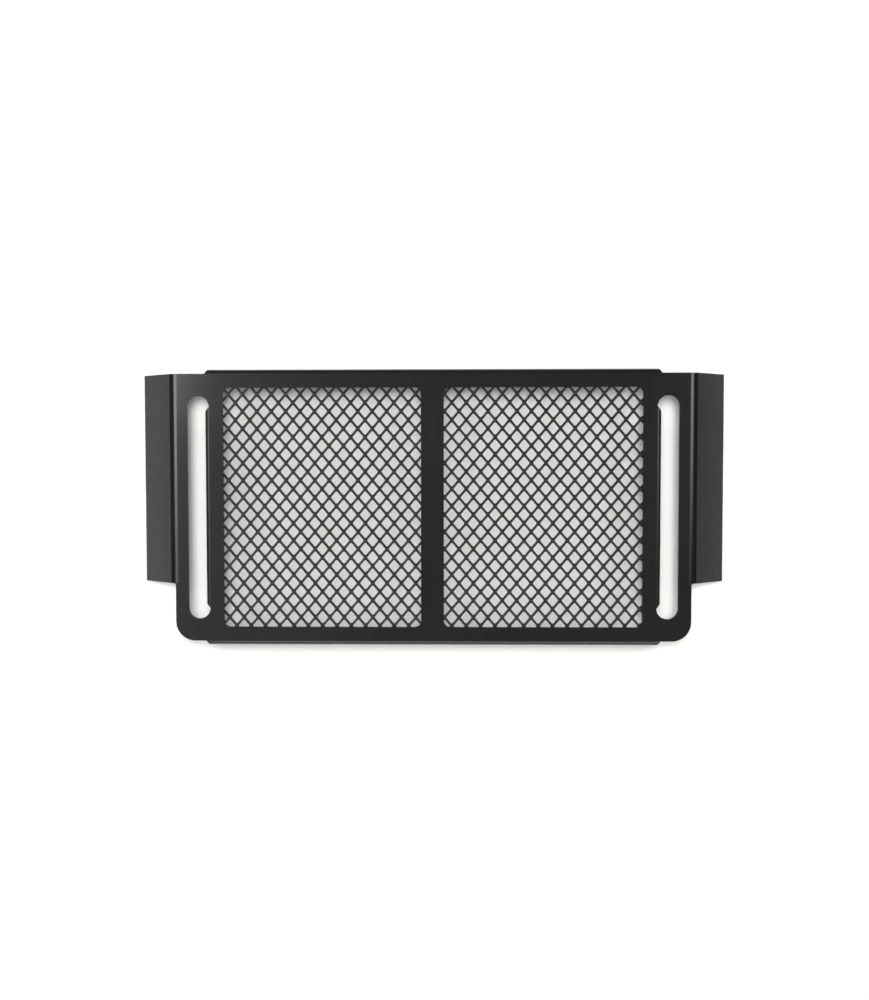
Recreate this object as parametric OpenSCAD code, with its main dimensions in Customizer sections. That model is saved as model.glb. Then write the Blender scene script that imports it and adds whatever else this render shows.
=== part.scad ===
// Radiator guard for a motorcycle.
// One folded sheet of steel with two windows, and one diamond mesh sheet behind both of them.
// The guard lies face up on the rear edges of its wings: Z is up, out of the front face,
// Y points to the guard's upper edge and X runs across. The origin is under the middle of the
// plate, on the surface that the guard lies on.

/* [Sheet] */
// Thickness of the folded sheet
sheet_t = 1.5; // [1:0.1:2.5]
// Inside radius of the flange bends
flange_bend_r = 1.3; // [0.8:0.1:3]
// Depth of the flanges, from the front face to their rear edge
flange_depth = 13; // [9:0.5:15]

/* [Windows] */
// Width of each window
window_w = 128.6; // [90:0.2:170]
// Height of each window
window_h = 155.8; // [110:0.2:200]
// Radius of the window corners
window_r = 4.2; // [1:0.1:10]
// Width of the bar between the windows
middle_bar = 14.8; // [8:0.2:30]
// Width of the bars above and below the windows
long_bar = 9.1; // [7:0.1:20]
// Width of the bars between the windows and the slots
side_bar = 9.2; // [7:0.1:20]

/* [Slots and ears] */
// Width of the slot in each ear
slot_w = 13.9; // [11:0.1:22]
// Height of the sheet left above and below each slot
slot_land = 14.5; // [8:0.5:30]
// Width of the strip outside each slot
ear_strip = 8.7; // [7:0.1:20]
// Radius of the lower ear corners
ear_r = 12.5; // [4:0.5:18]

/* [Flange ends] */
// Slant of the ends of the upper and lower flanges
long_mitre = 30; // [0:1:50]
// Slant of the ends of the flanges at the slots
slot_mitre = 45; // [0:1:50]

/* [Wings] */
// Angle that each wing is bent back from the plate
wing_angle = 34.13; // [25:0.01:50]
// Inside radius of the wing bends
wing_bend_r = 8.5; // [5:0.5:15]
// Length of the flat part of each wing, beyond its bend
wing_flat = 24.5; // [20:0.5:35]
// Height of the ear below each wing
ear_foot_h = 37.7; // [25:0.1:60]
// Distance from the ear's outer edge in to the line where the bend starts
wing_bend_inset = 2; // [1:0.1:3]
// Radius of the inner corner under each wing
wing_corner_r = 1.5; // [0.8:0.1:3]

/* [Mesh] */
// Width of a diamond, from crossing to crossing
mesh_pitch_x = 9.39; // [8:0.01:14]
// Height of a diamond, from crossing to crossing
mesh_pitch_y = 11.2; // [9:0.01:16]
// Width of the mesh strands
strand_w = 1.35; // [0.8:0.05:2.2]
// Thickness of the strands that lean one way
strand_t = 0.6; // [0.4:0.1:1]
// Width of the mesh that lies on the bars round the windows
mesh_lap = 4; // [2:0.5:6]
// Sideways shift of the diamonds from the guard's middle
mesh_shift_x = -1.5; // [-4:0.1:4]
// Upward shift of the diamonds from the guard's middle
mesh_shift_y = 1; // [-4:0.1:4]

/* [Hidden] */
$fn = 64;

// Places across the guard, from its middle outwards
window_x = middle_bar / 2 + window_w / 2;
windows_edge_x = middle_bar / 2 + window_w;
slot_in_x = windows_edge_x + side_bar;
slot_mid_x = slot_in_x + slot_w / 2;
ear_x = slot_in_x + slot_w + ear_strip;
wing_x = ear_x - wing_bend_inset;

// Heights on the plate
plate_h = window_h + 2 * long_bar;
slot_len = plate_h - 2 * slot_land;
wing_h = plate_h - ear_foot_h;

// Flanges: the long ones end level with the outer faces of the ones at the slots
flange_r = flange_bend_r + sheet_t;
flange_len = 2 * (slot_in_x + flange_r);
slot_flange_len = slot_len - slot_w;
// Sheet that a flange bend takes up, along its middle line
flange_arc = 90 * PI / 180 * (flange_bend_r + sheet_t / 2);

// The guard lies on the rear edges of the wing tips
wing_r = wing_bend_r + sheet_t;
front_z = wing_r - wing_bend_r * cos(wing_angle) + wing_flat * sin(wing_angle);
back_z = front_z - sheet_t;

// Mesh
half_x = mesh_pitch_x / 2;
half_y = mesh_pitch_y / 2;
strand_lean = atan(half_x / half_y);
mesh_w = 2 * (windows_edge_x + mesh_lap);
mesh_h = window_h + 2 * mesh_lap;
// Strands that only cut across a corner of the mesh, and cross no other strand, are left out
shortest_run = half_x + 2 * strand_w;
strand_reach = (mesh_w + mesh_h * tan(strand_lean)) / 2 - shortest_run;
strand_count = ceil(strand_reach / mesh_pitch_x) + 1;
strand_len = 2 * norm([mesh_w, mesh_h]);

// How far cuts and trims run past a face
past = 1;

module window_outline() {
    straight_w = window_w - 2 * window_r;
    straight_h = window_h - 2 * window_r;
    square([straight_w, window_h], center = true);
    square([window_w, straight_h], center = true);
    for (x = [-1, 1], y = [-1, 1])
        translate([x * straight_w / 2, y * straight_h / 2]) circle(window_r);
}

module slot_outline() {
    straight = slot_len - slot_w;
    square([slot_w, straight], center = true);
    for (y = [-1, 1])
        translate([0, y * straight / 2]) circle(slot_w / 2);
}

// What the round lower corner of the right ear takes away
module ear_corner_cut() {
    translate([ear_x - ear_r, -plate_h / 2 + ear_r]) difference() {
        translate([0, -ear_r - past]) square(ear_r + past);
        circle(ear_r);
    }
}

// The flat plate. Under the wings it runs on past their bend lines, to the ears' outer edges.
module face_outline() {
    difference() {
        union() {
            square([2 * wing_x, plate_h], center = true);
            translate([-ear_x, -plate_h / 2]) square([2 * ear_x, ear_foot_h]);
        }
        for (side = [0, 1]) mirror([side, 0]) {
            translate([window_x, 0]) window_outline();
            translate([slot_mid_x, 0]) slot_outline();
            ear_corner_cut();
        }
    }
}

// Section of a bend that starts at the origin, turns down and ends in a flat leg.
// The sheet's front face is at height 0 there, and its rear face one thickness below.
module fold_section(inside_r, angle, leg) {
    outside_r = inside_r + sheet_t;
    far = 2 * outside_r;
    translate([0, -outside_r]) {
        intersection() {
            difference() {
                circle(outside_r);
                circle(inside_r);
            }
            square(far);
            rotate(-angle) translate([-far, 0]) square(far);
        }
        rotate(-angle) translate([0, inside_r]) square([leg, sheet_t]);
    }
}

// A fold of the given length, with its bend line on the Y axis at the sheet's front face
module fold(inside_r, angle, leg, length) {
    rotate([90, 0, 0]) linear_extrude(length, center = true) fold_section(inside_r, angle, leg);
}

// A flange bent straight back, with slanted ends
module flange(length, mitre) {
    leg = flange_depth - flange_r;
    end_y = length / 2;
    bend_end_y = end_y - flange_arc * tan(mitre);
    rear_end_y = bend_end_y - leg * tan(mitre);
    intersection() {
        fold(flange_bend_r, 90, leg, length);
        // The ends as seen from the front: the slant across the bend
        translate([0, 0, -flange_depth - past]) linear_extrude(flange_depth + 2 * past) polygon([
            [0, -end_y], [flange_r, -bend_end_y], [flange_r + past, -bend_end_y],
            [flange_r + past, bend_end_y], [flange_r, bend_end_y], [0, end_y]
        ]);
        // The ends as seen from the side: the slant down the leg
        rotate([90, 0, 90]) linear_extrude(flange_r + past) polygon([
            [-end_y, past], [-end_y, 0], [-bend_end_y, -flange_r], [-rear_end_y, -flange_depth],
            [rear_end_y, -flange_depth], [bend_end_y, -flange_r], [end_y, 0], [end_y, past]
        ]);
    }
}

// The right wing as seen from the front, with the round inner corner under it.
// The origin is where its lower edge meets its bend line.
module wing_outline() {
    square([wing_r + wing_flat, wing_h]);
    translate([wing_bend_inset, -wing_corner_r]) difference() {
        square([wing_corner_r, wing_corner_r + past]);
        translate([wing_corner_r, 0]) circle(wing_corner_r);
    }
}

module wing() {
    intersection() {
        translate([0, (wing_h - wing_corner_r) / 2, 0])
            fold(wing_bend_r, wing_angle, wing_flat, wing_h + wing_corner_r);
        translate([0, 0, -front_z - past]) linear_extrude(front_z + 2 * past) wing_outline();
    }
}

module frame() {
    color([0.1, 0.1, 0.105]) {
        translate([0, 0, back_z]) linear_extrude(sheet_t) face_outline();
        for (side = [0, 1]) mirror([side, 0, 0]) {
            translate([slot_in_x, 0, front_z]) flange(slot_flange_len, slot_mitre);
            translate([wing_x, plate_h / 2 - wing_h, front_z]) wing();
        }
        for (turn = [90, -90])
            rotate(turn) translate([plate_h / 2, 0, front_z]) flange(flange_len, long_mitre);
    }
}

// The strands that lean to one side, cut to the mesh's outline
module strands(side) {
    lean = side * strand_lean;
    intersection() {
        square([mesh_w, mesh_h], center = true);
        for (i = [-strand_count : strand_count]) {
            level_x = mesh_shift_x + (i + 0.5) * mesh_pitch_x - mesh_shift_y * tan(lean);
            if (abs(level_x) < strand_reach)
                translate([level_x, 0]) rotate(-lean) square([strand_w, strand_len], center = true);
        }
    }
}

module mesh_panel() {
    color([0.13, 0.13, 0.135]) {
        translate([0, 0, back_z - strand_t]) linear_extrude(strand_t) strands(1);
        translate([0, 0, back_z - 2 * strand_t]) linear_extrude(strand_t) strands(-1);
    }
}

frame();
mesh_panel();
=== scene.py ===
# Radiator guard: looks, floor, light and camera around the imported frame. Metres throughout.
import math

import bmesh
import bpy
from mathutils import Euler, Matrix, Vector


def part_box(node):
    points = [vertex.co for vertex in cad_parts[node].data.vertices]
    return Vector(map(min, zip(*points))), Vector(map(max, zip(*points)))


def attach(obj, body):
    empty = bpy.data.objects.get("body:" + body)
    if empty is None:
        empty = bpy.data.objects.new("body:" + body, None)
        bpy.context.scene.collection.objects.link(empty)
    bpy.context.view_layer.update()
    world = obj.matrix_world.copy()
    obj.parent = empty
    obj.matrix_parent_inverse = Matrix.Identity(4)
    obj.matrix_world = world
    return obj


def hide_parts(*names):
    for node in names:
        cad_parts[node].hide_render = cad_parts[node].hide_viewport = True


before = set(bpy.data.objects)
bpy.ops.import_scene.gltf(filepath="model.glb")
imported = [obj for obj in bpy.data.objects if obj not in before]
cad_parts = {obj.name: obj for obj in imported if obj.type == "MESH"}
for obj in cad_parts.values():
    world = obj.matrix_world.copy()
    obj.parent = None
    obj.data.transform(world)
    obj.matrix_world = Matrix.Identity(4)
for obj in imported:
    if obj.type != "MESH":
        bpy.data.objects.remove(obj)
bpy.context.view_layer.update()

MM = 0.001

# Points closer than this are one point, and points this close to a cut lie on it
MERGE_DIST = 0.002 * MM
CUT_DIST = 0.0001 * MM

# Mesh: the diamonds' pitch and place, and the rounded form of their strands. The share is how
# much of a strand's half thickness its upright side takes, and the points are steps per corner.
PITCH_X = 9.39 * MM
PITCH_Y = 11.2 * MM
SHIFT_X = -1.5 * MM
SHIFT_Y = 1.0 * MM
STRAND_W = 1.55 * MM
OPENING_R = 0.9 * MM
STRAND_EDGE_R = 0.22 * MM
STRAND_SIDE_SHARE = 0.62
CORNER_STEPS = 4
STRAND_SHARP_ANGLE = math.radians(50)

# Edges of the folded sheet
EDGE_BEVEL = 0.16 * MM
SHARP_ANGLE = math.radians(40)
SMOOTH_ANGLE = math.radians(35)
WING_ANGLE = math.radians(34.13)
# Faces that meet within the first angle are one face. Faces within the second angle of one of
# the sheet's five ways are flat ones, not part of a bend.
DISSOLVE_ANGLE = math.radians(0.5)
FLAT_ANGLE = math.radians(0.6)

# Powder coat: scales of its noises, the shares of two of them in the colour, the part of their
# range that counts, and the depth of the orange peel
BROAD_SCALE = 22
FINE_SCALE = 1500
PEEL_SCALE = 620
BROAD_SHARE = 0.55
FINE_SHARE = 0.45
NOISE_RANGE = (0.3, 0.7)
PEEL_DEPTH = 0.06 * MM

# Camera
FOCAL_PX = 976.4
PHOTO_H_PX = 1000
SENSOR = 36.0
CAMERA_PLACE = (0.01301, 0.02814, 0.64946)
CAMERA_TURN = (-0.03650, 0.01833, -0.00094)

# Floor: its colour as a source of light, and as it is seen
FLOOR_SIZE = 8
FLOOR_COLOUR = (0.85, 0.85, 0.85)
FLOOR_SEEN = (0.94, 0.922, 0.898)
# How far its shadows are lifted towards white where they are seen, near the guard and from the
# radius on where the floor is lost in the white of the surroundings
FLOOR_LIFT = 0.04
FLOOR_NEAR = 0.3
FLOOR_FAR = 0.8

# World. Each is: lowest and highest value of one part of a direction, and the strengths there.
# Fill from above, by height
FILL = (0.82, 0.93, 0.05, 0.27)
# How many times brighter the fill is towards the left, by place across
LEAN = (-0.25, 0.0, 2.4, 1.0)
# Pale glow of the surroundings low down, by height
GLOW = (0.03, 0.19, 1.72, 0.0)

# Softboxes beside the guard, in strips along Y. Of each strip: place and length along Y,
# left place across, width and radiance, right place across, width and radiance
STRIP_HEIGHT = 1.06
STRIPS = (
    (0.21, 0.16, -0.72, 0.50, 6.8, 0.80, 0.42, 5.4),
    (0.07, 0.12, -0.785, 0.40, 6.3, 0.80, 0.40, 4.5),
    (-0.04, 0.10, -0.785, 0.40, 4.1, 0.80, 0.40, 2.7),
    (-0.19, 0.20, -0.785, 0.40, 2.5, 0.80, 0.40, 0.9),
)
# Other lamps. Of each: name, place across, along and up, width, length and radiance
FRONT_SOFTBOXES = (
    ("front_softbox", 0.0, -0.8, 1.05, 1.0, 0.5, 3.7),
    ("front_low", 0.0, -1.35, 0.55, 1.6, 0.75, 1.1),
)
FLOOR_LAMPS = (
    ("floor_lamp", 0.0, 0.32, 1.5, 0.7, 0.7, 12.9),
    ("floor_left", -1.2, 0.5, 0.85, 0.3, 0.3, 17.0),
    ("floor_right", 1.2, 0.5, 0.85, 0.3, 0.3, 17.0),
    ("floor_front", 0.0, -0.8, 1.05, 0.6, 0.3, 5.6),
)
# Each lamp looks at a point on the floor, this share of its own way along Y
AIM_SHARE = 0.4


def opening_outline(count):
    """A diamond with round corners: count steps round each corner, and straight sides between.

    Returns pairs (rim point, point of the opening), with the rim on the strands' middle lines.
    """
    a, b = PITCH_X / 2, PITCH_Y / 2
    side = math.hypot(a, b)
    scale = 1 - STRAND_W / 2 * side / (a * b)
    points = []
    corners = [Vector((a, 0)), Vector((0, b)), Vector((-a, 0)), Vector((0, -b))]
    for k in range(4):
        corner, after, before = corners[k], corners[(k + 1) % 4], corners[k - 1]
        inner = corner * scale
        out = corner.normalized()
        to_next = (after - corner).normalized()
        half = (-out).angle(to_next)
        centre = inner - out * (OPENING_R / math.sin(half))
        turn = math.pi / 2 - half
        base = math.atan2(out.y, out.x)
        for i in range(count + 1):
            t = i / count
            angle = base - turn + 2 * turn * t
            edge = centre + OPENING_R * Vector((math.cos(angle), math.sin(angle)))
            # The rim runs from a quarter of one side, over the corner, to a quarter of the next
            if t <= 0.5:
                rim = corner + (before - corner) * (0.5 - t) * 0.5
            else:
                rim = corner + (after - corner) * (t - 0.5) * 0.5
            points.append((rim, edge))
    return points


def build_mesh_panel():
    """The diamond mesh in one plane, with round openings and rounded strands."""
    low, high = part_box("mesh_panel")
    half_w, half_h = high[0], high[1]
    top, bottom = high[2], low[2]
    mid = (top + bottom) / 2
    rise = (top - mid) * STRAND_SIDE_SHARE
    outline = opening_outline(CORNER_STEPS)
    rims = [rim for rim, edge in outline]
    edges = [edge for rim, edge in outline]
    lips = [edge + (rim - edge).normalized() * STRAND_EDGE_R for rim, edge in outline]
    # Over a strand's front from its middle line, down its side, and back under it
    levels = (
        (rims, top), (lips, top), (edges, mid + rise),
        (edges, mid - rise), (lips, bottom), (rims, bottom),
    )
    count = len(outline)
    bm = bmesh.new()
    cols = int(half_w / PITCH_X) + 2
    rows = int(half_h / PITCH_Y) + 2
    for j in range(-2 * rows, 2 * rows + 1):
        for i in range(-2 * cols, 2 * cols + 1):
            if (i + j) % 2:
                continue
            cx = SHIFT_X + i * PITCH_X / 2
            cy = SHIFT_Y + j * PITCH_Y / 2
            if abs(cx) > half_w + PITCH_X / 2 or abs(cy) > half_h + PITCH_Y / 2:
                continue
            loops = [
                [bm.verts.new((cx + p.x, cy + p.y, z)) for p in ring] for ring, z in levels
            ]
            for upper, under in zip(loops, loops[1:]):
                for k in range(count):
                    n = (k + 1) % count
                    bm.faces.new((upper[k], upper[n], under[n], under[k]))
    bmesh.ops.remove_doubles(bm, verts=bm.verts, dist=MERGE_DIST)
    for place, normal in (
        ((half_w, 0, 0), (1, 0, 0)),
        ((-half_w, 0, 0), (-1, 0, 0)),
        ((0, half_h, 0), (0, 1, 0)),
        ((0, -half_h, 0), (0, -1, 0)),
    ):
        geom = bm.verts[:] + bm.edges[:] + bm.faces[:]
        bmesh.ops.bisect_plane(
            bm, geom=geom, dist=CUT_DIST, plane_co=place, plane_no=normal, clear_outer=True
        )
        rim_edges = [e for e in bm.edges if e.is_boundary]
        bmesh.ops.holes_fill(bm, edges=rim_edges, sides=0)
    bmesh.ops.recalc_face_normals(bm, faces=bm.faces)
    drop_islands(bm)
    mesh = bpy.data.meshes.new("diamond_mesh")
    bm.to_mesh(mesh)
    bm.free()
    obj = bpy.data.objects.new("diamond_mesh", mesh)
    bpy.context.collection.objects.link(obj)
    for poly in mesh.polygons:
        poly.use_smooth = True
    mesh.set_sharp_from_angle(angle=STRAND_SHARP_ANGLE)
    return obj


def drop_islands(bm):
    """Takes away the scraps that the cut along the rim leaves on their own."""
    seen = set()
    groups = []
    for start in bm.verts:
        if start in seen:
            continue
        stack, group = [start], []
        seen.add(start)
        while stack:
            v = stack.pop()
            group.append(v)
            for e in v.link_edges:
                o = e.other_vert(v)
                if o not in seen:
                    seen.add(o)
                    stack.append(o)
        groups.append(group)
    groups.sort(key=len)
    for group in groups[:-1]:
        bmesh.ops.delete(bm, geom=group, context="VERTS")


def build_sheet():
    """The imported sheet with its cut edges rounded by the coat, and with true normals.

    Flat faces keep their own normal right up to the bends, so a bend shades as a round one.
    """
    bm = bmesh.new()
    bm.from_mesh(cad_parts["frame"].data)
    bmesh.ops.remove_doubles(bm, verts=bm.verts, dist=MERGE_DIST)
    bmesh.ops.dissolve_limit(
        bm, angle_limit=DISSOLVE_ANGLE, verts=bm.verts, edges=bm.edges, delimit=set()
    )
    cut = [e for e in bm.edges if len(e.link_faces) == 2 and e.calc_face_angle() > SHARP_ANGLE]
    bmesh.ops.bevel(
        bm, geom=cut, offset=EDGE_BEVEL, offset_type="OFFSET", segments=2, profile=0.5,
        affect="EDGES", clamp_overlap=True,
    )
    mesh = bpy.data.meshes.new("guard_sheet")
    bm.to_mesh(mesh)
    bm.free()
    wing = Vector((math.sin(WING_ANGLE), 0, math.cos(WING_ANGLE)))
    mirrored = Vector((-wing.x, 0, wing.z))
    ways = [Vector(w) for w in ((1, 0, 0), (0, 1, 0), (0, 0, 1))] + [wing, mirrored]
    near = math.cos(FLAT_ANGLE)
    flat = [any(abs(p.normal.dot(w)) > near for w in ways) for p in mesh.polygons]
    around = {}
    for p in mesh.polygons:
        for v in p.vertices:
            around.setdefault(v, []).append(p.index)
    normals = []
    for p in mesh.polygons:
        p.use_smooth = True
        own = p.normal.copy()
        for v in p.vertices:
            if flat[p.index]:
                normals.append(own)
                continue
            others = [mesh.polygons[i].normal for i in around[v] if flat[i]]
            others = [n for n in others if n.dot(own) > math.cos(SMOOTH_ANGLE)]
            if others:
                normals.append(max(others, key=own.dot).copy())
                continue
            total = Vector()
            for i in around[v]:
                if mesh.polygons[i].normal.dot(own) > math.cos(SHARP_ANGLE):
                    total += mesh.polygons[i].normal * mesh.polygons[i].area
            normals.append(total.normalized())
    mesh.normals_split_custom_set(normals)
    obj = bpy.data.objects.new("guard_sheet", mesh)
    bpy.context.collection.objects.link(obj)
    return obj


def new_material(name):
    mat = bpy.data.materials.new(name)
    mat.use_nodes = True
    nodes, links = mat.node_tree.nodes, mat.node_tree.links
    return mat, nodes, links, nodes["Principled BSDF"]


def noise(nodes, links, coords, scale, detail, rough):
    n = nodes.new("ShaderNodeTexNoise")
    n.inputs["Scale"].default_value = scale
    n.inputs["Detail"].default_value = detail
    n.inputs["Roughness"].default_value = rough
    links.new(coords.outputs["Object"], n.inputs["Vector"])
    return n.outputs["Fac"]


def ramp(nodes, links, source, start, end, low, high, smooth=False):
    """Runs from low to high while source runs from start to end."""
    r = nodes.new("ShaderNodeMapRange")
    if smooth:
        r.interpolation_type = "SMOOTHSTEP"
    r.inputs["From Min"].default_value = start
    r.inputs["From Max"].default_value = end
    r.inputs["To Min"].default_value = low
    r.inputs["To Max"].default_value = high
    links.new(source, r.inputs["Value"])
    return r.outputs["Result"]


def math_node(nodes, links, operation, *sources):
    """A Math node. Each source is a socket, or a number."""
    m = nodes.new("ShaderNodeMath")
    m.operation = operation
    for socket, source in zip(m.inputs, sources):
        if isinstance(source, (int, float)):
            socket.default_value = source
        else:
            links.new(source, socket)
    return m.outputs[0]


def mix_node(nodes, links, data_type, factor, a, b):
    """A Mix node. Its second value is a constant, and its first one a constant or a socket."""
    m = nodes.new("ShaderNodeMix")
    m.data_type = data_type
    m.inputs["B"].default_value = b
    if isinstance(a, bpy.types.NodeSocket):
        links.new(a, m.inputs["A"])
    else:
        m.inputs["A"].default_value = a
    links.new(factor, m.inputs["Factor"])
    return m.outputs["Result"]


def powder_coat(name, dark, light, rough, peel, grain):
    """Satin black powder coat: fine orange peel, grain in the gloss and a little uneven colour."""
    mat, nodes, links, bsdf = new_material(name)
    coords = nodes.new("ShaderNodeTexCoord")
    broad = noise(nodes, links, coords, BROAD_SCALE, 3, 0.55)
    fine = noise(nodes, links, coords, FINE_SCALE, 3, 0.6)
    peel_noise = noise(nodes, links, coords, PEEL_SCALE, 2, 0.5)
    patches = ramp(nodes, links, broad, *NOISE_RANGE, 0.0, BROAD_SHARE)
    uneven = math_node(nodes, links, "MULTIPLY_ADD", fine, FINE_SHARE, patches)
    colour = mix_node(nodes, links, "RGBA", uneven, (*dark, 1), (*light, 1))
    links.new(colour, bsdf.inputs["Base Color"])
    gloss = ramp(nodes, links, fine, *NOISE_RANGE, rough - grain, rough + grain)
    links.new(gloss, bsdf.inputs["Roughness"])
    bump = nodes.new("ShaderNodeBump")
    bump.inputs["Strength"].default_value = peel
    bump.inputs["Distance"].default_value = PEEL_DEPTH
    links.new(peel_noise, bump.inputs["Height"])
    links.new(bump.outputs["Normal"], bsdf.inputs["Normal"])
    bsdf.inputs["Metallic"].default_value = 0
    bsdf.inputs["IOR"].default_value = 1.5
    return mat


def floor_white():
    """White floor. The camera and reflections see its shadows paler than the light leaves them."""
    mat, nodes, links, bsdf = new_material("floor_white")
    bsdf.inputs["Roughness"].default_value = 0.9
    bsdf.inputs["Specular IOR Level"].default_value = 0.1
    path = nodes.new("ShaderNodeLightPath")
    seen = math_node(
        nodes, links, "MAXIMUM", path.outputs["Is Camera Ray"], path.outputs["Is Glossy Ray"]
    )
    pale = mix_node(nodes, links, "RGBA", seen, (*FLOOR_COLOUR, 1), (*FLOOR_SEEN, 1))
    links.new(pale, bsdf.inputs["Base Color"])
    white = nodes.new("ShaderNodeEmission")
    white.inputs["Strength"].default_value = 1.0
    coords = nodes.new("ShaderNodeTexCoord")
    away = nodes.new("ShaderNodeVectorMath")
    away.operation = "LENGTH"
    links.new(coords.outputs["Object"], away.inputs[0])
    fade = ramp(
        nodes, links, away.outputs["Value"], FLOOR_NEAR, FLOOR_FAR, FLOOR_LIFT, 1.0, smooth=True
    )
    shown = nodes.new("ShaderNodeMixShader")
    links.new(math_node(nodes, links, "MULTIPLY", seen, fade), shown.inputs["Fac"])
    links.new(bsdf.outputs["BSDF"], shown.inputs[1])
    links.new(white.outputs["Emission"], shown.inputs[2])
    links.new(shown.outputs["Shader"], nodes["Material Output"].inputs["Surface"])
    return mat


def studio_world():
    """A dim fill from above and a pale glow low down. To the camera the world is white."""
    world = bpy.data.worlds.new("studio")
    world.use_nodes = True
    nodes, links = world.node_tree.nodes, world.node_tree.links
    background = nodes["Background"]
    coords = nodes.new("ShaderNodeTexCoord")
    split = nodes.new("ShaderNodeSeparateXYZ")
    links.new(coords.outputs["Generated"], split.inputs["Vector"])
    across, height = split.outputs["X"], split.outputs["Z"]
    fill = ramp(nodes, links, height, *FILL, smooth=True)
    lean = ramp(nodes, links, across, *LEAN, smooth=True)
    glow = ramp(nodes, links, height, *GLOW, smooth=True)
    total = math_node(nodes, links, "MULTIPLY_ADD", fill, lean, glow)
    path = nodes.new("ShaderNodeLightPath")
    level = mix_node(nodes, links, "FLOAT", path.outputs["Is Camera Ray"], total, 1.0)
    links.new(level, background.inputs["Strength"])
    background.inputs["Color"].default_value = (1, 1, 1, 1)
    return world


def softbox(name, across, along, height, wide, tall, radiance):
    """A flat lamp that faces the guard, above and to one side of it."""
    lamp = bpy.data.lights.new(name, "AREA")
    lamp.shape = "RECTANGLE"
    lamp.size = wide
    lamp.size_y = tall
    lamp.energy = radiance * math.pi * wide * tall
    obj = bpy.data.objects.new(name, lamp)
    obj.location = (across, along, height)
    back = (obj.location - Vector((0, along * AIM_SHARE, 0))).normalized()
    side = Vector((0, 1, 0)).cross(back).normalized()
    obj.rotation_euler = Matrix((side, back.cross(side), back)).transposed().to_euler()
    bpy.context.collection.objects.link(obj)
    return obj


frame_mat = powder_coat(
    "frame_powder_coat", dark=(0.0037, 0.0039, 0.0046), light=(0.0086, 0.009, 0.0101),
    rough=0.18, peel=0.08, grain=0.02,
)
mesh_mat = powder_coat(
    "mesh_powder_coat", dark=(0.006, 0.006, 0.0063), light=(0.012, 0.012, 0.0125),
    rough=0.33, peel=0.3, grain=0.05,
)

sheet = build_sheet()
sheet.data.materials.append(frame_mat)
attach(sheet, "root")
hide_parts("frame")

panel = build_mesh_panel()
panel.data.materials.append(mesh_mat)
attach(panel, "root")
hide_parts("mesh_panel")

# Surroundings
bpy.ops.mesh.primitive_plane_add(size=FLOOR_SIZE, location=(0, 0, 0))
floor = bpy.context.object
floor.name = "floor"
floor.data.materials.append(floor_white())
bpy.context.scene.world = studio_world()

# The softboxes that the folds show. The floor has its own lamps below.
for number, strip in enumerate(STRIPS):
    along, tall, left_x, left_w, left, right_x, right_w, right = strip
    for lamp in (
        softbox(f"left_softbox_{number}", left_x, along, STRIP_HEIGHT, left_w, tall, left),
        softbox(f"right_softbox_{number}", right_x, along, STRIP_HEIGHT, right_w, tall, right),
    ):
        lamp.visible_diffuse = False
for values in FRONT_SOFTBOXES:
    softbox(*values).visible_diffuse = False

# Lamps for the floor: they throw the guard's soft shadows and stay out of its reflections
for values in FLOOR_LAMPS:
    softbox(*values).visible_glossy = False

# Camera
cam_data = bpy.data.cameras.new("camera")
cam_data.sensor_width = SENSOR
cam_data.sensor_fit = "AUTO"
cam_data.lens = FOCAL_PX / PHOTO_H_PX * SENSOR
cam_data.clip_start = 10 * MM
camera = bpy.data.objects.new("camera", cam_data)
camera.location = CAMERA_PLACE
camera.rotation_euler = Euler(CAMERA_TURN, "XYZ")
bpy.context.collection.objects.link(camera)
bpy.context.scene.camera = camera

bpy.context.scene.view_settings.view_transform = "Standard"
